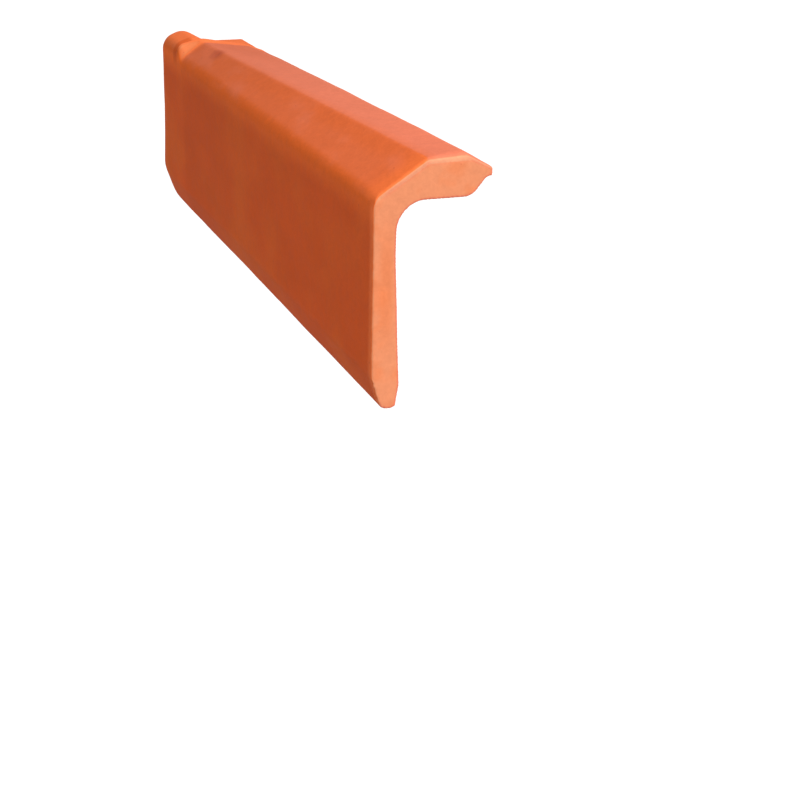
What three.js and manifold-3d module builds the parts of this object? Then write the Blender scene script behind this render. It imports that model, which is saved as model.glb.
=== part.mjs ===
// Left-hand verge tile: one piece of pressed and fired clay in the shape of an
// inverted L. A deep flap hangs over the edge of the roof, and a thick top leg
// lies on the roof. The tile runs along Y, its tail at -Y and its head, with the
// lap for the next tile, at +Y. The flap's outer face looks towards -X. The
// origin is on the flat bed under the top leg, halfway along the tile.

import * as THREE from 'three';
import { mergeVertices } from 'three/addons/utils/BufferGeometryUtils.js';
import Module from 'manifold-3d';

// Sizes in millimetres. In the section, x is measured from the flap's outer
// face, z from the bed, and y from the tail.
const LENGTH = 440;
const BED_CENTRE_X = 39;

// Upper side of the body. The plateau sinks from tail to head, so the ridge
// between it and the outer facet slants outwards. The bow shapes the sinking.
const CORNER_HEIGHT = 3.7;
const CORNER_RADIUS = 6;
const FACET_RISE = 0.62;
const RIDGE_X_TAIL = 30.6;
const RIDGE_X_HEAD = 18.6;
const RIDGE_RADIUS = 4;
const PLATEAU_EDGE_X = 51.5;
const PLATEAU_EDGE_TAIL = 24;
const PLATEAU_EDGE_HEAD = 11.2;
const PLATEAU_BOW = 1.25;
const PLATEAU_EDGE_RADIUS = 7;
const TIP_X = 67;
const TIP_TOP_TAIL = 15;
const TIP_TOP_HEAD = 5.2;
const TIP_RADIUS = 1.6;

// Lower side: the tongue at the tip, the flat bed, and the flap with its toe.
const TONGUE_THICKNESS = 4.9;
const TONGUE_ROOT_X = 63.8;
const BED_EDGE_X = 55.3;
const TONGUE_ROOT_RADIUS = 4;
const BED_EDGE_RADIUS = 9;
const BED_CLEARANCE = 0.4;      // least height of the tongue above the bed
const FLAP_THICKNESS = 13.5;
const FLAP_DEPTH = 114;
const FLAP_STRAIGHT = 32;       // the flap thickens below this depth
const FLAP_BEND_RADIUS = 60;
const TOE_SWELL = 3;
const TOE_SWELL_HEIGHT = 13;
const TOE_SWELL_RADIUS = 12;
const TOE_INNER_X = 14.4;
const TOE_INNER_RADIUS = 2.5;
const TOE_OUTER_X = 5.6;
const TOE_OUTER_RADIUS = 5;
const TOE_CHAMFER_HEIGHT = 19.5;
const TOE_CHAMFER_RADIUS = 18;
const ROOT_RADIUS = 15.5;

// Head end: a rim across the body with a sharp outer corner, a shallow groove
// behind it, and a lap with a rounded lobe over the flap.
const RIM_START = 376;
const RIM_FULL = 384;
const RIM_END = 386.5;
const RIM_CORNER_HEIGHT = 12.2;
const RIM_CORNER_RADIUS = 2.5;
const RIM_PROUD = 0.6;
const GROOVE_Y = 388.5;
const GROOVE_CORNER_HEIGHT = 9;
const GROOVE_PEAK_HEIGHT = 14;
const LOBE_START = 394;
const LOBE_START_CORNER_HEIGHT = 10.5;
const LOBE_CORNER_HEIGHT = 6.5;
const LOBE_CORNER_RADIUS = 10;
const LOBE_PEAK_X = 16.5;
const LOBE_PEAK_HEIGHT = 15.2;
const LOBE_PEAK_RADIUS = 14;
const LOBE_FOOT_X = 36;
const LAP_THICKNESS = 5;
const LAP_FALL = 0.8;

// Rounding of the two ends.
const TAIL_BULLNOSE = 3;
const PLATEAU_BULLNOSE = 6;
const FINE_EDGE = 0.9;
const LOBE_END_DEPTH = 7.5;
const LAP_END_DEPTH = 2;
const HEAD_EDGE_DEPTH = 8;      // upper part of the flap's edge at the head
const HEAD_ROUND_STRETCH = 2.2; // length of the head's rounding over its depth
const HEAD_CORNER_LENGTH = 22;  // lower corner of the flap at the head
const HEAD_CORNER_HEIGHT = 13;

// Shallow hollow for the nail, in the facet beside the ridge.
const HOLLOW_X = 17;
const HOLLOW_Y = 336;
const HOLLOW_SPHERE = 6.5;
const HOLLOW_DEPTH = 1.2;

const { degToRad, lerp, smoothstep } = THREE.MathUtils;

// A corner of the section before it is rounded: place, radius and number of
// steps in its arc, and how deep the tile's ends are rounded there.
function corner(x, z, radius, steps, tailDepth = FINE_EDGE, headDepth = FINE_EDGE) {
  return { x, z, radius, steps, tailDepth, headDepth };
}

// The crown is the upper side, as four corners from the flap's outer face to the tip.
function crown(outer, ridge, plateauEdge, tipTop) {
  return [
    corner(0, outer.z, outer.radius, 5, TAIL_BULLNOSE, HEAD_EDGE_DEPTH),
    corner(ridge.x, ridge.z, ridge.radius, 5, TAIL_BULLNOSE, LOBE_END_DEPTH),
    corner(plateauEdge.x, plateauEdge.z, PLATEAU_EDGE_RADIUS, 4, PLATEAU_BULLNOSE, LAP_END_DEPTH),
    corner(TIP_X, tipTop, TIP_RADIUS, 3),
  ];
}

function bodyCrown(y) {
  const along = y / RIM_START;
  const ridgeX = lerp(RIDGE_X_TAIL, RIDGE_X_HEAD, along);
  const edgeZ = lerp(PLATEAU_EDGE_TAIL, PLATEAU_EDGE_HEAD, along ** PLATEAU_BOW);
  return crown(
    { z: CORNER_HEIGHT, radius: CORNER_RADIUS },
    { x: ridgeX, z: CORNER_HEIGHT + FACET_RISE * ridgeX, radius: RIDGE_RADIUS },
    { x: PLATEAU_EDGE_X, z: edgeZ },
    lerp(TIP_TOP_TAIL, TIP_TOP_HEAD, along ** PLATEAU_BOW),
  );
}

const RIM_CROWN = crown(
  { z: RIM_CORNER_HEIGHT, radius: RIM_CORNER_RADIUS },
  {
    x: RIDGE_X_HEAD,
    z: CORNER_HEIGHT + FACET_RISE * RIDGE_X_HEAD + RIM_PROUD,
    radius: RIDGE_RADIUS,
  },
  { x: PLATEAU_EDGE_X, z: PLATEAU_EDGE_HEAD + RIM_PROUD },
  TIP_TOP_HEAD,
);

// The lap is the thin leg behind the groove, from the lobe's foot to the tip.
const lap = {
  foot: { x: LOBE_FOOT_X, z: LAP_THICKNESS },
  tip: LAP_THICKNESS - LAP_FALL,
};

const GROOVE_CROWN = crown(
  { z: GROOVE_CORNER_HEIGHT, radius: LOBE_CORNER_RADIUS },
  { x: LOBE_PEAK_X, z: GROOVE_PEAK_HEIGHT, radius: RIDGE_RADIUS },
  lap.foot,
  lap.tip,
);

const LOBE_START_CROWN = crown(
  { z: LOBE_START_CORNER_HEIGHT, radius: LOBE_CORNER_RADIUS },
  { x: LOBE_PEAK_X, z: LOBE_PEAK_HEIGHT, radius: LOBE_PEAK_RADIUS },
  lap.foot,
  lap.tip,
);

const LOBE_CROWN = crown(
  { z: LOBE_CORNER_HEIGHT, radius: LOBE_CORNER_RADIUS },
  { x: LOBE_PEAK_X, z: LOBE_PEAK_HEIGHT, radius: LOBE_PEAK_RADIUS },
  lap.foot,
  lap.tip,
);

function mixCorners(from, to, share) {
  return from.map((a, i) => ({
    ...a,
    x: lerp(a.x, to[i].x, share),
    z: lerp(a.z, to[i].z, share),
    radius: lerp(a.radius, to[i].radius, share),
  }));
}

function crownAt(y) {
  if (y <= RIM_FULL) {
    return mixCorners(bodyCrown(y), RIM_CROWN, smoothstep(y, RIM_START, RIM_FULL));
  }
  if (y <= GROOVE_Y) {
    return mixCorners(RIM_CROWN, GROOVE_CROWN, smoothstep(y, RIM_END, GROOVE_Y));
  }
  if (y <= LOBE_START) {
    return mixCorners(GROOVE_CROWN, LOBE_START_CROWN, smoothstep(y, GROOVE_Y, LOBE_START));
  }
  const along = (y - LOBE_START) / (LENGTH - LOBE_START);
  return mixCorners(LOBE_START_CROWN, LOBE_CROWN, along);
}

// The lower side, from the tip under the tongue, along the bed, round the fillet
// and down the flap to its toe.
function undersideAt(y, tipTop) {
  const past = Math.max(y - (LENGTH - HEAD_CORNER_LENGTH), 0) / HEAD_CORNER_LENGTH;
  const toe = HEAD_CORNER_HEIGHT * (1 - Math.sqrt(1 - past ** 2)) - FLAP_DEPTH;
  const tongueUnder = Math.max(tipTop - TONGUE_THICKNESS, BED_CLEARANCE);
  return [
    corner(TIP_X, tongueUnder, TIP_RADIUS, 3),
    corner(TONGUE_ROOT_X, tongueUnder, TONGUE_ROOT_RADIUS, 3),
    corner(BED_EDGE_X, 0, BED_EDGE_RADIUS, 4),
    corner(FLAP_THICKNESS, 0, ROOT_RADIUS, 8),
    corner(FLAP_THICKNESS, -FLAP_STRAIGHT, FLAP_BEND_RADIUS, 3),
    corner(FLAP_THICKNESS + TOE_SWELL, toe + TOE_SWELL_HEIGHT, TOE_SWELL_RADIUS, 3),
    corner(TOE_INNER_X, toe, TOE_INNER_RADIUS, 3),
    corner(TOE_OUTER_X, toe, TOE_OUTER_RADIUS, 4),
    corner(0, toe + TOE_CHAMFER_HEIGHT, TOE_CHAMFER_RADIUS, 3),
  ];
}

// Point on the circular arc from start to end whose tangents there meet at tip,
// as a rational quadratic curve. Half is half the angle at the tip.
function arcPoint(start, tip, end, half, t) {
  const a = (1 - t) ** 2;
  const b = 2 * t * (1 - t) * Math.sin(half);
  const c = t ** 2;
  return new THREE.Vector2(
    (a * start.x + b * tip.x + c * end.x) / (a + b + c),
    (a * start.y + b * tip.y + c * end.y) / (a + b + c),
  );
}

// Rounds every corner of a closed outline with an arc that touches both sides.
function roundOutline(corners) {
  return corners.flatMap((c, i) => {
    const here = new THREE.Vector2(c.x, c.z);
    const before = corners.at(i - 1);
    const after = corners[(i + 1) % corners.length];
    const back = new THREE.Vector2(before.x, before.z).sub(here);
    const on = new THREE.Vector2(after.x, after.z).sub(here);
    const half = back.angleTo(on) / 2;
    const longest = 0.48 * Math.min(back.length(), on.length());
    const reach = Math.min(c.radius / Math.tan(half), longest);
    const start = here.clone().addScaledVector(back.normalize(), reach);
    const end = here.clone().addScaledVector(on.normalize(), reach);
    return Array.from({ length: c.steps + 1 }, (_, k) => ({
      place: arcPoint(start, here, end, half, k / c.steps),
      corner: c,
    }));
  });
}

// How far a rounded end edge draws the outline in, at a distance from that end.
function endInset(distance, depth, length) {
  if (distance >= length) return 0;
  return depth * (1 - Math.sqrt(1 - ((length - distance) / length) ** 2));
}

// One ring of the tile: the section at y, drawn in where an end edge is rounded.
function ringAt(y) {
  const top = crownAt(y);
  const outline = roundOutline([...top, ...undersideAt(y, top[3].z)]);
  return outline.map((point, i) => {
    const before = outline.at(i - 1).place;
    const after = outline[(i + 1) % outline.length].place;
    const along = after.clone().sub(before).normalize();
    const { tailDepth, headDepth } = point.corner;
    const inset = endInset(y, tailDepth, tailDepth)
      + endInset(LENGTH - y, headDepth, headDepth * HEAD_ROUND_STRETCH);
    return new THREE.Vector3(
      point.place.x + along.y * inset - BED_CENTRE_X,
      y - LENGTH / 2,
      point.place.y - along.x * inset,
    );
  });
}

// Evenly spaced places after the first, up to and with the last.
function spaced(first, last, steps) {
  return Array.from({ length: steps }, (_, k) => lerp(first, last, (k + 1) / steps));
}

// Places of the rings along the tile. They lie closer together in the rounding
// of the tail, where they are given outright, and of the head, by the angle.
const TAIL_PLACES = [0, 0.3, 1, 2, TAIL_BULLNOSE, 4.3, PLATEAU_BULLNOSE];
const HEAD_ANGLES = [0, 15, 30, 40, 50, 60, 70, 78, 84, 90];
const HEAD_RUN_UP = 5;          // last ring before the head's rounding

const RING_PLACES = [
  ...TAIL_PLACES,
  ...spaced(PLATEAU_BULLNOSE, RIM_START, 14),
  ...spaced(RIM_START, RIM_FULL, 4),
  RIM_END,
  ...spaced(RIM_END, GROOVE_Y, 3),
  ...spaced(GROOVE_Y, LOBE_START, 3),
  ...spaced(LOBE_START, LENGTH - HEAD_CORNER_LENGTH - HEAD_RUN_UP, 4),
  ...HEAD_ANGLES.map((degrees) => (
    LENGTH - HEAD_CORNER_LENGTH * (1 - Math.sin(degToRad(degrees)))
  )),
];

// Joins the rings to one closed surface with flat ends.
function loftGeometry() {
  const rings = RING_PLACES.map(ringAt);
  const count = rings[0].length;
  const index = [];
  for (let r = 0; r < rings.length - 1; r += 1) {
    for (let i = 0; i < count; i += 1) {
      const a = r * count + i;
      const b = r * count + ((i + 1) % count);
      index.push(a, b, a + count, b, b + count, a + count);
    }
  }
  const triangles = (ring) => (
    THREE.ShapeUtils.triangulateShape(ring.map((p) => new THREE.Vector2(p.x, p.z)), [])
  );
  const last = (rings.length - 1) * count;
  triangles(rings[0]).forEach(([i, j, k]) => index.push(i, j, k));
  triangles(rings.at(-1)).forEach(([i, j, k]) => index.push(last + i, last + k, last + j));
  const geometry = new THREE.BufferGeometry().setFromPoints(rings.flat());
  geometry.setIndex(index);
  return geometry;
}

// Sphere that presses the hollow for the nail into the facet.
function hollowGeometry() {
  const sphere = new THREE.SphereGeometry(HOLLOW_SPHERE, 20, 14);
  const outward = new THREE.Vector2(-FACET_RISE, 1).normalize();
  const lift = HOLLOW_SPHERE - HOLLOW_DEPTH;
  sphere.translate(
    HOLLOW_X - BED_CENTRE_X + outward.x * lift,
    HOLLOW_Y - LENGTH / 2,
    CORNER_HEIGHT + FACET_RISE * HOLLOW_X + outward.y * lift,
  );
  return sphere;
}

const wasm = await Module();
wasm.setup();

function toSolid(geometry) {
  const bare = geometry.clone();
  bare.deleteAttribute('normal');
  bare.deleteAttribute('uv');
  const merged = mergeVertices(bare, 1e-4);
  return new wasm.Manifold(new wasm.Mesh({
    numProp: 3,
    vertProperties: new Float32Array(merged.attributes.position.array),
    triVerts: new Uint32Array(merged.index.array),
  }));
}

function toGeometry(solid) {
  const mesh = solid.getMesh();
  const geometry = new THREE.BufferGeometry();
  geometry.setAttribute('position', new THREE.BufferAttribute(mesh.vertProperties, 3));
  geometry.setIndex(new THREE.BufferAttribute(mesh.triVerts, 1));
  geometry.computeVertexNormals();
  return geometry;
}

const body = toSolid(loftGeometry()).subtract(toSolid(hollowGeometry()));
const firedClay = new THREE.MeshStandardMaterial({ color: 0xc4622f, roughness: 0.8, metalness: 0 });

const tile = new THREE.Mesh(toGeometry(body), firedClay);
tile.name = 'verge_tile';

const group = new THREE.Group();
group.add(tile);

export default group;
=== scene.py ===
# A left-hand verge tile of fired clay: a deep flap that hangs outside the roof's
# edge, and a thick ridged top leg with the lap for the next tile at its head.

import math

import bmesh
import bpy
from mathutils import Matrix, Vector


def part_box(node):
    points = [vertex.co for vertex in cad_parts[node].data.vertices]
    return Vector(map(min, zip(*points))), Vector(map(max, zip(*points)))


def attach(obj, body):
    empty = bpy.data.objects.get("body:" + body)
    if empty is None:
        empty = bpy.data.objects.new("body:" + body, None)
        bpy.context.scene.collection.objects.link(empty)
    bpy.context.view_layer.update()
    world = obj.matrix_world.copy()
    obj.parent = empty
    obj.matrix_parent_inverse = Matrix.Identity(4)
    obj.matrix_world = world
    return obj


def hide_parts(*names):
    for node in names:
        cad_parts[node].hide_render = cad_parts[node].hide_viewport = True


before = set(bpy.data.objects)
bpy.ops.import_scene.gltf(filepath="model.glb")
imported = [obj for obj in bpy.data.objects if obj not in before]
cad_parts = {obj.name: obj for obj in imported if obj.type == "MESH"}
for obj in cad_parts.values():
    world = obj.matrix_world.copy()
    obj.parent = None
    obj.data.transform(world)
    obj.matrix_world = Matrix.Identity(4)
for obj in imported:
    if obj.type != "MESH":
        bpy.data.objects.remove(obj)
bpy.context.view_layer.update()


# Camera.
# It stands to the left of the tile's tail and looks down on it, with a long
# lens, so that the flap, the top leg and the section at the tail all show.

CAMERA_AZIMUTH = math.radians(-23.52)
CAMERA_ELEVATION = math.radians(24.66)
CAMERA_ROLL = math.radians(1.3)
CAMERA_PLACE = Vector((-0.2968, -0.85155, 0.20653))
CAMERA_LENS = 63
CAMERA_SENSOR = 36

back = Vector((
    math.sin(CAMERA_AZIMUTH) * math.cos(CAMERA_ELEVATION),
    -math.cos(CAMERA_AZIMUTH) * math.cos(CAMERA_ELEVATION),
    math.sin(CAMERA_ELEVATION),
))
level_right = Vector((0, 0, 1)).cross(back).normalized()
turn = Matrix.Rotation(CAMERA_ROLL, 3, back)
right = turn @ level_right
up = back.cross(right)

camera_data = bpy.data.cameras.new("camera")
camera_data.lens = CAMERA_LENS
camera_data.sensor_width = CAMERA_SENSOR
camera = bpy.data.objects.new("camera", camera_data)
bpy.context.scene.collection.objects.link(camera)
camera_turn = Matrix((right, up, back)).transposed().to_4x4()
camera.matrix_world = Matrix.Translation(CAMERA_PLACE) @ camera_turn
bpy.context.scene.camera = camera


# Verge tile.
# One piece of roofing clay, pressed in a two-part mould, trimmed along its edges
# and fired. It lies on the roof by the flat bed under its top leg, and a nail
# through the hollow beside the ridge holds it.

MM = 0.001
tile_low, tile_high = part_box("verge_tile")
LENGTH = (tile_high.y - tile_low.y) / MM
FLAP_DEPTH = -tile_low.z / MM
TIP_X = (tile_high.x - tile_low.x) / MM

# Upper side: the facet rises from the flap's outer corner to the ridge, and the
# plateau lies behind the ridge and sinks towards the head.
CORNER_HEIGHT = 3.7
FACET_RISE = 0.62
RIDGE_X = (30.6, 18.6)
PLATEAU_EDGE_X = 51.5
PLATEAU_EDGE_HEIGHT = (24, 11.2)
PLATEAU_BOW = 1.25
TAIL_DIP = 1.3
TAIL_DIP_LENGTH = 7
TIP_HEIGHT = (15, 5.2)

# Lower side: the tongue at the tip, the flat bed, and the flap with its toe.
TONGUE_THICKNESS = 4.9
TONGUE_ROOT_X = 63.8
BED_EDGE_X = 55.3
BED_CLEARANCE = 0.4
BED_RISE = 1.2
FLAP_THICKNESS = 13.5
FLAP_STRAIGHT = 32
TOE_SWELL = 3
TOE_SWELL_HEIGHT = 13
TOE_INNER_X = 14.4
TOE_OUTER_X = 5.6
TOE_CHAMFER_HEIGHT = 19.5
TOE_CHAMFER_SHARE = 0.35

# Head end: a rim across the body with a sharp outer corner, a shallow groove
# behind it, and the lap with its lobe.
RIM_START = 376
RIM_FULL = 384
RIM_END = 386.5
RIM_CORNER_HEIGHT = 12.2
RIM_PROUD = (1.3, -0.3)
GROOVE_Y = 388.5
GROOVE_HEIGHTS = (10.6, 14.8)
LOBE_START = 394
LOBE_START_CORNER_HEIGHT = 11.4
LOBE_CORNER_HEIGHT = 9.5
LOBE_PEAK = (16.5, 16.5)
LAP_FOOT_X = 36
LAP_THICKNESS = 5
LAP_FALL = 0.8

# Rounding of the head's end, as depth into the section and length along the tile.
LOBE_END_DEPTH = 7.5
HEAD_EDGE_DEPTH = 8
LAP_END_DEPTH = 2
HEAD_ROUND_STRETCH = 2.2
HEAD_CORNER_LENGTH = 22
HEAD_CORNER_HEIGHT = 13

# Radius of each corner of the section: the four of the upper side, then the nine
# of the lower. The outer corner has others at the head, the rim and the lobe.
CORNER_RADII = (
    9, 5, 7, 0.6,
    0.6, 4, 9, 15.5, 60, 12, 2.5, 5, 18,
)
HEAD_CORNER_RADIUS = 14
RIM_CORNER_RADIUS = 2.5
LOBE_RADII = (11, 13)

# Rounding of the tail's edges: the three of the upper side, and the flap's outer one.
TAIL_ROUNDING = (3, 4, 2.5)
FLAP_EDGE_ROUNDING = 1.6


def mix(a, b, share):
    """The value that lies between a and b by the share."""
    return a + (b - a) * share


def ease(value, start, end):
    """Goes smoothly from 0 at start to 1 at end."""
    share = min(max((value - start) / (end - start), 0), 1)
    return share * share * (3 - 2 * share)


def mix_corners(first, second, share):
    """The corners that lie between two sets of corners by the share."""
    return [tuple(mix(a, b, share) for a, b in zip(p, q)) for p, q in zip(first, second)]


def body_crown(y):
    """The four corners of the upper side in the body, from the flap's face to the tip."""
    along = y / RIM_START
    ridge_x = mix(*RIDGE_X, along)
    dip = TAIL_DIP * (1 - ease(y, 0, TAIL_DIP_LENGTH))
    return [
        (0, CORNER_HEIGHT),
        (ridge_x, CORNER_HEIGHT + FACET_RISE * ridge_x),
        (PLATEAU_EDGE_X, mix(*PLATEAU_EDGE_HEIGHT, along ** PLATEAU_BOW) - dip),
        (TIP_X, mix(*TIP_HEIGHT, along ** PLATEAU_BOW)),
    ]


def crown(y):
    """The four corners of the upper side anywhere along the tile."""
    ridge_x = RIDGE_X[1]
    rim = [
        (0, RIM_CORNER_HEIGHT),
        (ridge_x, CORNER_HEIGHT + FACET_RISE * ridge_x + RIM_PROUD[0]),
        (PLATEAU_EDGE_X, PLATEAU_EDGE_HEIGHT[1] + RIM_PROUD[1]),
        (TIP_X, TIP_HEIGHT[1]),
    ]
    lap = [(LAP_FOOT_X, LAP_THICKNESS), (TIP_X, LAP_THICKNESS - LAP_FALL)]
    groove = [(0, GROOVE_HEIGHTS[0]), (LOBE_PEAK[0], GROOVE_HEIGHTS[1]), *lap]
    lobe_start = [(0, LOBE_START_CORNER_HEIGHT), LOBE_PEAK, *lap]
    lobe = [(0, LOBE_CORNER_HEIGHT), LOBE_PEAK, *lap]
    if y <= RIM_FULL:
        return mix_corners(body_crown(min(y, RIM_START)), rim, ease(y, RIM_START, RIM_FULL))
    if y <= GROOVE_Y:
        return mix_corners(rim, groove, ease(y, RIM_END, GROOVE_Y))
    if y <= LOBE_START:
        return mix_corners(groove, lobe_start, ease(y, GROOVE_Y, LOBE_START))
    return mix_corners(lobe_start, lobe, (y - LOBE_START) / (LENGTH - LOBE_START))


def underside(y, tip_top):
    """The nine corners of the lower side, from the tip to the toe's outer chamfer."""
    past = max(y - (LENGTH - HEAD_CORNER_LENGTH), 0) / HEAD_CORNER_LENGTH
    rise = HEAD_CORNER_HEIGHT * (1 - math.sqrt(1 - past ** 2))
    toe = rise - FLAP_DEPTH
    chamfer_rise = rise * TOE_CHAMFER_SHARE
    tongue = max(tip_top - TONGUE_THICKNESS, BED_CLEARANCE)
    return [
        (TIP_X, tongue),
        (TONGUE_ROOT_X, tongue),
        (BED_EDGE_X, 0),
        (FLAP_THICKNESS, BED_RISE),
        (FLAP_THICKNESS, -FLAP_STRAIGHT),
        (FLAP_THICKNESS + TOE_SWELL, toe + TOE_SWELL_HEIGHT),
        (TOE_INNER_X, toe),
        (TOE_OUTER_X, toe),
        (0, TOE_CHAMFER_HEIGHT + chamfer_rise - FLAP_DEPTH),
    ]


def half_angle(corners, i):
    """Half the angle between the sides that meet at corner i, and the way that halves it."""
    here = Vector(corners[i])
    before = (Vector(corners[i - 1]) - here).normalized()
    after = (Vector(corners[(i + 1) % len(corners)]) - here).normalized()
    return before.angle(after) / 2, (before + after).normalized()


def head_inset(y, depth):
    """How far the rounding of the head's end draws a corner in at y."""
    past = (y - LENGTH) / (depth * HEAD_ROUND_STRETCH) + 1
    return depth * (1 - math.sqrt(1 - past ** 2)) if past > 0 else 0


def section(y):
    """The thirteen corners of the section at y, drawn in where the head's end is rounded."""
    top = crown(y)
    corners = top + underside(y, top[3][1])
    depths = (HEAD_EDGE_DEPTH, LOBE_END_DEPTH, LAP_END_DEPTH)
    drawn = list(corners)
    for i, depth in enumerate(depths):
        half, inwards = half_angle(corners, i)
        down = -inwards if inwards.y > 0 else inwards
        drawn[i] = tuple(Vector(corners[i]) + down * head_inset(y, depth) / math.sin(half))
    return drawn


# The tile starts as a flat polygon at the tail. Its corners are moved to the
# section, and the face is extruded from ring to ring, with the corners moved at
# each ring.
BODY_RINGS = 12
HEAD_ROUND_ANGLES = (15, 30, 45, 58, 70, 80, 90)
head_rounding = [
    LENGTH - HEAD_CORNER_LENGTH * (1 - math.sin(math.radians(angle))) for angle in HEAD_ROUND_ANGLES
]
rings = [0, TAIL_DIP_LENGTH]
rings += [RIM_START * i / BODY_RINGS for i in range(1, BODY_RINGS + 1)]
rings += [mix(RIM_START, RIM_FULL, share) for share in (0.25, 0.5, 0.75, 1)]
rings += [RIM_END, mix(RIM_END, GROOVE_Y, 0.5), GROOVE_Y]
rings += [mix(GROOVE_Y, LOBE_START, 0.5), LOBE_START]
rings += [LENGTH - HEAD_CORNER_LENGTH, *head_rounding]

bpy.ops.object.select_all(action="DESELECT")
corner_count = len(section(0))
bpy.ops.mesh.primitive_circle_add(
    vertices=corner_count, radius=FLAP_THICKNESS * MM, fill_type="NGON",
    location=(0, tile_low.y, 0), rotation=(math.pi / 2, 0, 0),
)
tile = bpy.context.object
tile.name = "clay_verge_tile"
bpy.ops.object.transform_apply(location=True, rotation=True, scale=True)
bpy.ops.object.mode_set(mode="EDIT")
net = bmesh.from_edit_mesh(tile.data)
corner_mark = net.verts.layers.int.new("corner")
for vertex in net.verts:
    vertex[corner_mark] = vertex.index


def place_in_row(corner, y):
    """A corner's place in metres, in the frame whose origin is on the bed at mid-length."""
    return Vector((tile_low.x + corner[0] * MM, tile_low.y + y * MM, corner[1] * MM))


def shape_ring(y):
    """Moves the corners of the selected ring to the section at y."""
    net = bmesh.from_edit_mesh(tile.data)
    mark = net.verts.layers.int["corner"]
    corners = section(y)
    for vertex in net.verts:
        if vertex.select:
            vertex.co = place_in_row(corners[vertex[mark]], y)
    bmesh.update_edit_mesh(tile.data)


bpy.ops.mesh.select_all(action="SELECT")
shape_ring(0)
for previous, y in zip(rings, rings[1:]):
    bpy.ops.mesh.extrude_region_move(TRANSFORM_OT_translate={"value": (0, (y - previous) * MM, 0)})
    shape_ring(y)
bpy.ops.mesh.select_all(action="SELECT")
bpy.ops.mesh.normals_make_consistent(inside=False)

# Each long edge gets a bevel weight for its radius, and the edges round the tail
# one for their own rounding.
BEVEL_WIDTH = 20
net = bmesh.from_edit_mesh(tile.data)
corner_mark = net.verts.layers.int["corner"]
bevel_weight = net.edges.layers.float.new("bevel_weight_edge")
for edge in net.edges:
    a, b = edge.verts
    middle = (a.co + b.co) / 2
    y = (middle.y - tile_low.y) / MM
    marks = {a[corner_mark], b[corner_mark]}
    round_tail = max(a.co.y, b.co.y) < tile_low.y + MM / 2
    if len(marks) == 1:
        corner = marks.pop()
        radius = CORNER_RADII[corner]
        if corner == 0 and y < RIM_START:
            radius = mix(radius, HEAD_CORNER_RADIUS, y / RIM_START)
        elif corner == 0 and y < RIM_END:
            radius = RIM_CORNER_RADIUS
        elif corner < 2 and y > RIM_END:
            radius = LOBE_RADII[corner]
        half = half_angle(section(y), corner)[0]
        edge[bevel_weight] = radius / math.tan(half) / BEVEL_WIDTH
    elif round_tail and max(marks) <= 3:
        edge[bevel_weight] = TAIL_ROUNDING[min(marks)] / BEVEL_WIDTH
    elif round_tail and marks == {0, corner_count - 1}:
        edge[bevel_weight] = FLAP_EDGE_ROUNDING / BEVEL_WIDTH
bmesh.update_edit_mesh(tile.data)
bpy.ops.object.mode_set(mode="OBJECT")

rounding = tile.modifiers.new("rounding", "BEVEL")
rounding.limit_method = "WEIGHT"
rounding.width = BEVEL_WIDTH * MM
rounding.segments = 8
rounding.use_clamp_overlap = False
bpy.ops.object.modifier_apply(modifier="rounding")

# The hollow for the nail is pressed in with a ball, given by its radius.
HOLLOW_X = 17
HOLLOW_Y = 336
HOLLOW_BALL = 12
HOLLOW_DEPTH = 0.45
facet_out = Vector((-FACET_RISE, 0, 1)).normalized()
hollow_place = place_in_row((HOLLOW_X, CORNER_HEIGHT + FACET_RISE * HOLLOW_X), HOLLOW_Y)
bpy.ops.object.select_all(action="DESELECT")
bpy.ops.mesh.primitive_uv_sphere_add(
    segments=32, ring_count=20, radius=HOLLOW_BALL * MM,
    location=hollow_place + facet_out * (HOLLOW_BALL - HOLLOW_DEPTH) * MM,
)
ball = bpy.context.object
pressing = tile.modifiers.new("hollow", "BOOLEAN")
pressing.object = ball
pressing.operation = "DIFFERENCE"
bpy.ops.object.select_all(action="DESELECT")
tile.select_set(True)
bpy.context.view_layer.objects.active = tile
bpy.ops.object.modifier_apply(modifier="hollow")
bpy.data.objects.remove(ball)

# A close, even net of faces carries the soft unevenness of pressed clay. It is
# laid askew, so that no long edge runs along its rows and comes out stepped.
NET_SIZE = 0.8
SOFTENING_ROUNDS = 4
askew = Matrix.Rotation(math.radians(25), 4, "Y") @ Matrix.Rotation(math.radians(18), 4, "Z")
tile.data.transform(askew)
even_net = tile.modifiers.new("even_net", "REMESH")
even_net.mode = "VOXEL"
even_net.voxel_size = NET_SIZE * MM
bpy.ops.object.modifier_apply(modifier="even_net")
tile.data.transform(askew.inverted())
softening = tile.modifiers.new("softening", "SMOOTH")
softening.factor = 0.5
softening.iterations = SOFTENING_ROUNDS
bpy.ops.object.modifier_apply(modifier="softening")

# Long waves and small dents, each with its width, detail and height. Most of the
# unevenness goes inwards, so that the tile stays inside its CAD size.
UNEVENNESS = {"waves": (55, 1, 0.6), "dents": (12, 2, 0.18)}
INWARD_SHARE = 0.85
for name, (width, detail, height) in UNEVENNESS.items():
    clouding = bpy.data.textures.new(name, "CLOUDS")
    clouding.noise_scale = width * MM
    clouding.noise_depth = detail
    unevenness = tile.modifiers.new(name, "DISPLACE")
    unevenness.texture = clouding
    unevenness.texture_coords = "LOCAL"
    unevenness.strength = height * MM
    unevenness.mid_level = INWARD_SHARE
    bpy.ops.object.modifier_apply(modifier=name)

# The net is thinned last. It has four-sided faces, each of them two triangles.
TRIANGLES = 180000
thinning = tile.modifiers.new("thinning", "DECIMATE")
thinning.ratio = TRIANGLES / (2 * len(tile.data.polygons))
bpy.ops.object.modifier_apply(modifier="thinning")
bpy.ops.object.shade_smooth()

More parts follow.
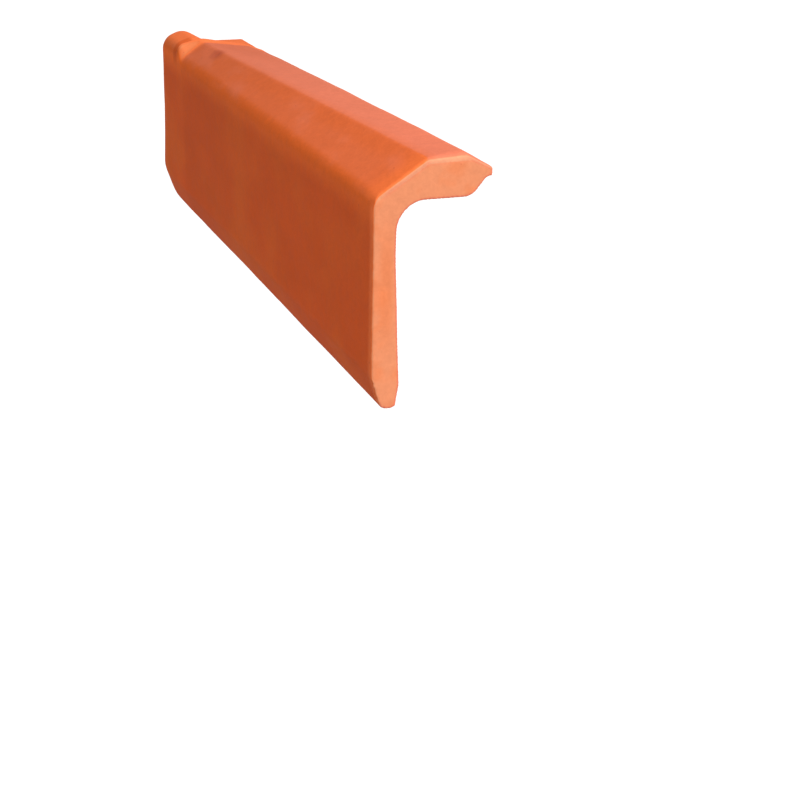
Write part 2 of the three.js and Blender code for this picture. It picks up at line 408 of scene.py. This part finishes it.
# Fired clay. The outer face of the flap kept the deep red of the body, because it
# lay against its neighbour in the kiln. A paler, pinkish bloom came out on the top,
# and most of all on the end at the tail.
clay = bpy.data.materials.new("fired_clay")
clay.use_nodes = True
clay_shader = clay.node_tree.nodes["Principled BSDF"]

# Places of the colour sockets on a Mix node.
MIX_SHARE = 0
MIX_BELOW = 6
MIX_ABOVE = 7
MIX_RESULT = 2


def clay_node(kind, inputs, **settings):
    """Adds a node to the clay, with its inputs set or linked and its options set."""
    node = clay.node_tree.nodes.new("ShaderNode" + kind)
    for name, value in settings.items():
        setattr(node, name, value)
    for name, value in inputs.items():
        if isinstance(value, bpy.types.NodeSocket):
            clay.node_tree.links.new(value, node.inputs[name])
        else:
            node.inputs[name].default_value = value
    return node


def calculated(operation, *values):
    """The result of one step of arithmetic."""
    return clay_node("Math", dict(enumerate(values)), operation=operation).outputs[0]


def product(*values):
    """All the values multiplied together."""
    result = values[0]
    for value in values[1:]:
        result = calculated("MULTIPLY", result, value)
    return result


def rising(value, start, end):
    """Goes smoothly from 0 at start to 1 at end. It falls if start is above end."""
    return clay_node(
        "MapRange", {"Value": value, "From Min": start, "From Max": end},
        interpolation_type="SMOOTHSTEP",
    ).outputs["Result"]


def around(value, middle, near, far):
    """1 up to the distance near from the middle, and 0 from the distance far on."""
    distance = calculated("ABSOLUTE", calculated("SUBTRACT", value, middle))
    return rising(distance, far, near)


def laid_over(below, above, *shares):
    """One colour laid over another, as strongly as the product of the shares."""
    inputs = {MIX_SHARE: product(*shares), MIX_BELOW: below, MIX_ABOVE: above}
    return clay_node("Mix", inputs, data_type="RGBA").outputs[MIX_RESULT]


coordinates = clay_node("TexCoord", {})


def clouds(size, detail, stretch=1):
    """Soft noise with features of a size in millimetres, drawn out along the tile."""
    stretched = clay_node(
        "Mapping", {"Vector": coordinates.outputs["Object"], "Scale": (1, 1 / stretch, 1)},
    )
    return clay_node(
        "TexNoise", {"Vector": stretched.outputs[0], "Scale": 1 / (size * MM), "Detail": detail},
    ).outputs[0]


# Places are in millimetres, as in the section: from the flap's outer face, from
# the tail, and up from the bed.
place = clay_node("SeparateXYZ", {0: coordinates.outputs["Object"]}).outputs
from_face = calculated("MULTIPLY_ADD", place[0], 1 / MM, -tile_low.x / MM)
from_tail = calculated("MULTIPLY_ADD", place[1], 1 / MM, -tile_low.y / MM)
from_bed = calculated("MULTIPLY", place[2], 1 / MM)

# Which way the surface faces. Turned away is towards the roof or down.
facing = clay_node("SeparateXYZ", {0: coordinates.outputs["Normal"]}).outputs
inwards, headwards, upwards = facing
outwards = calculated("MULTIPLY", inwards, -1)
tailwards = calculated("MULTIPLY", headwards, -1)
turned_away = calculated("MAXIMUM", inwards, calculated("MULTIPLY", upwards, -1))

# Which part of the surface is which, by where it faces and lies.
on_top = rising(upwards, 0.25, 0.75)
on_flap = rising(outwards, 0.6, 0.95)
on_facet = product(rising(outwards, 0.2, 0.4), on_top)
hidden = rising(turned_away, 0.6, 0.95)
at_tail = rising(from_tail, 20, 10)
on_either = calculated("MAXIMUM", on_top, rising(outwards, 0.2, 0.6))
bent_down = calculated("MULTIPLY_ADD", on_either, -0.45, tailwards)
at_tail_end = product(rising(bent_down, 0.1, 0.35), at_tail)
at_head_end = product(rising(headwards, 0.4, 0.9), rising(from_tail, 410, 420))
behind_rim = product(rising(from_tail, RIM_START - 6, RIM_START + 2), on_top)

# Large drifts from the kiln, blotches of a finger's width, and the grain of the clay.
drift = clouds(60, 3)
blotches = clouds(22, 3, 2.2)
grain = clouds(1.6, 2)
wide_grain = clouds(5, 3)

DEEP_RED = (0.535, 0.077, 0.0125, 1)
OLIVE = (0.565, 0.098, 0.015, 1)
PINK = (0.545, 0.142, 0.078, 1)
ORANGE = (0.565, 0.103, 0.023, 1)
BRIGHT_ORANGE = (0.65, 0.127, 0.031, 1)
RIM_ORANGE = (0.57, 0.121, 0.034, 1)
RIM_SLOPE = (0.5, 0.134, 0.048, 1)
EDGE_PINK = (0.5, 0.1, 0.06, 1)
SALMON = (0.51, 0.178, 0.085, 1)
PALE = (0.5, 0.25, 0.135, 1)
DARK_STAIN_AND_SHADE = (0.33, 0.055, 0.03, 1)

colour = laid_over(DEEP_RED, OLIVE, rising(drift, 0.42, 0.72), 0.7)
# The faces turned towards the roof or down are painted paler with salmon, as light to make up for
# the little that reaches them.
colour = laid_over(colour, SALMON, hidden, 0.4)

# The bloom thins out down the facet and over the corner onto the flap, which is
# less red near that corner and near its edge at the head.
near_corner = rising(from_bed, -14, 4)
near_head_edge = product(rising(from_tail, 420, 433), on_flap)
colour = laid_over(colour, OLIVE, calculated("MAXIMUM", near_corner, near_head_edge))
colour = laid_over(colour, PINK, rising(outwards, 0.94, 0.0), on_top)
colour = laid_over(colour, PINK, rising(blotches, 0.46, 0.66), on_facet, 0.55)

# Along the ridge the facet is a stronger orange, in a wavering band that fades
# towards the head. The plateau has some of it beside the ridge and near the head.
ridge_slant = (RIDGE_X[1] - RIDGE_X[0]) / RIM_START
ridge_line = calculated("MULTIPLY_ADD", from_tail, ridge_slant, RIDGE_X[0])
below_ridge = calculated("SUBTRACT", ridge_line, from_face)
wavering = calculated("MULTIPLY_ADD", blotches, 12, below_ridge)
ridge_band = product(rising(wavering, 19, 11), rising(from_tail, 420, 50))
beside_ridge = product(rising(below_ridge, -8, 0), on_top)
near_head = product(rising(from_tail, 250, 400), on_top)
colour = laid_over(colour, ORANGE, ridge_band, on_facet, 0.55)
colour = laid_over(colour, ORANGE, calculated("MAXIMUM", beside_ridge, near_head), 0.25)

# At the tail the facet brightens, and so does the flap's upright edge.
flap_edge = product(rising(outwards, 0.25, 0.5), rising(upwards, 0.5, 0.2))
colour = laid_over(colour, ORANGE, rising(from_tail, 35, 15), on_facet, 0.4)
colour = laid_over(colour, BRIGHT_ORANGE, rising(from_tail, 22, 4), on_facet)
colour = laid_over(colour, BRIGHT_ORANGE, rising(from_tail, 7, 2), flap_edge)

# At the head the rim and the lobe are orange, and the groove between them gets painted shade in
# dark red.
lobe = product(
    rising(from_tail, LOBE_START - 3, LOBE_START + 1),
    rising(from_face, 43, 33),
    rising(upwards, 0.55, 0.9),
)
# Painted shade: the groove behind the rim is shaded by the rim. Here it is painted dark red, and
# below it is darkened further.
groove = product(
    rising(from_tail, RIM_END - 1, RIM_END + 1),
    rising(from_tail, LOBE_START + 5, LOBE_START - 0.5),
    rising(outwards, 0, 0.3),
    rising(from_bed, -6, 4),
)
colour = laid_over(colour, RIM_ORANGE, behind_rim, 0.85)
colour = laid_over(colour, BRIGHT_ORANGE, lobe, 0.4)
colour = laid_over(colour, DEEP_RED, groove, 0.6)
colour = laid_over(colour, RIM_SLOPE, behind_rim, rising(tailwards, 0.2, 0.5))

# The trimmed tail is salmon, pinker along its inner edges and more orange down the middle of the
# flap, with a pale painted highlight on the rounding of its upper edge.
across_flap = around(from_face, 8, 1, 6)
down_flap = around(from_bed, -45, 10, 45)
painted_rounding_highlight = product(
    rising(tailwards, 0.6, 0.76),
    rising(tailwards, 0.99, 0.95),
    rising(upwards, 0.08, 0.16),
    at_tail,
)
colour = laid_over(colour, SALMON, at_tail_end)
colour = laid_over(colour, EDGE_PINK, at_tail_end, rising(turned_away, 0.15, 0.4), 0.6)
colour = laid_over(colour, RIM_SLOPE, at_tail_end, across_flap, down_flap, 0.6)
colour = laid_over(colour, RIM_SLOPE, at_tail_end, rising(blotches, 0.48, 0.64), 0.55)
colour = laid_over(colour, PALE, painted_rounding_highlight, rising(from_bed, -4, 16), 0.9)
colour = laid_over(colour, SALMON, at_head_end, 0.6)

# Edges rubbed paler in transport, broken up by the grain, and pinker ones round the end
# at the tail. The paler edges are also a painted highlight along every rounded edge.
bulge = clay_node("NewGeometry", {}).outputs["Pointiness"]
rubbed_and_highlit = product(rising(bulge, 0.505, 0.53), rising(wide_grain, 0.42, 0.62))
end_rim = product(rising(tailwards, 0.6, 0.9), rising(from_face, 3, 9), at_tail)
colour = laid_over(colour, PALE, rubbed_and_highlit, 0.18)
colour = laid_over(colour, EDGE_PINK, rising(bulge, 0.502, 0.52), end_rim, 0.45)

# A dark stain in and round the nail hollow, a line of painted shade along the toe's
# under edge, and a few iron specks.
STAIN_WIDTH = 5.5
STAIN_LENGTH = 10
SPECK_SPACING = 6.25
across = calculated("DIVIDE", calculated("SUBTRACT", from_face, HOLLOW_X), STAIN_WIDTH)
lengthways = calculated("DIVIDE", calculated("SUBTRACT", from_tail, HOLLOW_Y), STAIN_LENGTH)
squares = calculated("ADD", product(across, across), product(lengthways, lengthways))
from_hollow = calculated("SQRT", squares)
stain = product(rising(from_hollow, 1.3, 0.2), on_top)
toe_shadow_line = product(rising(from_bed, 6 - FLAP_DEPTH, 0.5 - FLAP_DEPTH), rising(outwards, -0.1, 0.3))
from_speck = clay_node(
    "TexVoronoi", {"Vector": coordinates.outputs["Object"], "Scale": 1 / (SPECK_SPACING * MM)},
    feature="F1",
).outputs["Distance"]
specks = product(rising(from_speck, 0.12, 0.05), rising(blotches, 0.5, 0.6))
colour = laid_over(colour, DARK_STAIN_AND_SHADE, stain, 0.5)
colour = laid_over(colour, DARK_STAIN_AND_SHADE, toe_shadow_line, 0.45)
colour = laid_over(colour, DARK_STAIN_AND_SHADE, specks, 0.5)

# The grain makes the colour lighter and darker, it darkens towards the head, and
# each part has a shade of its own, some of them painted light and painted shade.
shade = 1
for noise, strength in ((grain, 0.16), (wide_grain, 0.18), (blotches, 0.18)):
    shade = calculated("MULTIPLY_ADD", calculated("SUBTRACT", noise, 0.5), strength, shade)
towards_head = product(
    rising(from_tail, 100, RIM_START + 4), rising(from_tail, RIM_START + 2, RIM_START - 6),
)
darker = product(towards_head, calculated("MULTIPLY_ADD", on_top, 0.13, 0.05))
shade = product(shade, calculated("SUBTRACT", calculated("MULTIPLY_ADD", on_top, 0.03, 1), darker))
# Painted light: the flap is brightened just below its upper corner.
lit_corner = product(near_corner, rising(outwards, 0.45, 0.75), rising(from_bed, 10, 1))
near_tail = product(rising(from_tail, 140, 10), on_top)
before_lap = product(
    behind_rim, rising(tailwards, 0.35, 0.2), rising(from_tail, RIM_END + 2.5, RIM_END + 0.5),
)
# Painted shade: the toe's down-turned side is darkened, as is the groove, and the painted highlight
# on the tail's rounding is toned down.
shaded_toe_side = product(rising(upwards, -0.03, -0.25), rising(outwards, 0.3, 0.7))
shades = (
    (lit_corner, 0.2), (on_facet, 0.025), (near_tail, 0.07), (before_lap, 0.12),
    (painted_rounding_highlight, -0.04), (groove, -0.16), (shaded_toe_side, -0.17),
)
for part, gain in shades:
    shade = product(shade, calculated("MULTIPLY_ADD", part, gain, 1))
shaded = clay_node("VectorMath", {0: colour, "Scale": shade}, operation="SCALE").outputs[0]
clay.node_tree.links.new(shaded, clay_shader.inputs["Base Color"])

# Matt all over, and a little duller where the grain stands out.
MATT = 0.68
MATT_VARIATION = 0.25
GLOSS = 0.05
roughness = calculated("MULTIPLY_ADD", wide_grain, MATT_VARIATION, MATT)
clay.node_tree.links.new(roughness, clay_shader.inputs["Roughness"])
clay_shader.inputs["Specular IOR Level"].default_value = GLOSS

# Fine relief of the grain, as heights in millimetres.
WIDE_RELIEF = 0.2
FINE_RELIEF = 0.08
RELIEF_STRENGTH = 0.8
relief = clay_node(
    "Bump", {"Height": wide_grain, "Distance": WIDE_RELIEF * MM, "Strength": RELIEF_STRENGTH},
)
fine_relief = clay_node(
    "Bump", {"Height": grain, "Distance": FINE_RELIEF * MM, "Strength": RELIEF_STRENGTH},
)
clay.node_tree.links.new(relief.outputs[0], fine_relief.inputs["Normal"])
clay.node_tree.links.new(fine_relief.outputs[0], clay_shader.inputs["Normal"])

tile.data.materials.clear()
tile.data.materials.append(clay)

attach(tile, "root")
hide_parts("verge_tile")


# Floor and light.
# A plain pale floor lies well below the tile, which hangs in the air as it does
# on a roof. One soft key light comes from the front right, and the sky fills in.

FLOOR_DEPTH = 1.0
FLOOR_SIZE = 30
FLOOR_COLOUR = (0.74, 0.74, 0.74, 1)
FLOOR_ROUGHNESS = 0.9
bpy.ops.object.select_all(action="DESELECT")
bpy.ops.mesh.primitive_plane_add(size=FLOOR_SIZE, location=(0, 0, -FLOOR_DEPTH))
floor = bpy.context.object
floor.name = "floor"
floor_paint = bpy.data.materials.new("floor_paint")
floor_paint.use_nodes = True
floor_shader = floor_paint.node_tree.nodes["Principled BSDF"]
floor_shader.inputs["Base Color"].default_value = FLOOR_COLOUR
floor_shader.inputs["Roughness"].default_value = FLOOR_ROUGHNESS
floor.data.materials.append(floor_paint)

KEY_DIRECTION = Vector((0.252, -0.653, 0.714))
KEY_STRENGTH = 5.1
KEY_SOFTNESS = math.radians(45)
key_data = bpy.data.lights.new("key", "SUN")
key_data.energy = KEY_STRENGTH
key_data.angle = KEY_SOFTNESS
key = bpy.data.objects.new("key", key_data)
key.rotation_euler = KEY_DIRECTION.to_track_quat("Z", "Y").to_euler()
bpy.context.scene.collection.objects.link(key)

SKY_COLOUR = (1, 1, 1, 1)
SKY_STRENGTH = 0.37
sky = bpy.data.worlds.new("sky")
sky.use_nodes = True
sky_light = sky.node_tree.nodes["Background"]
sky_light.inputs["Color"].default_value = SKY_COLOUR
sky_light.inputs["Strength"].default_value = SKY_STRENGTH
bpy.context.scene.world = sky
bpy.context.scene.view_settings.view_transform = "Standard"
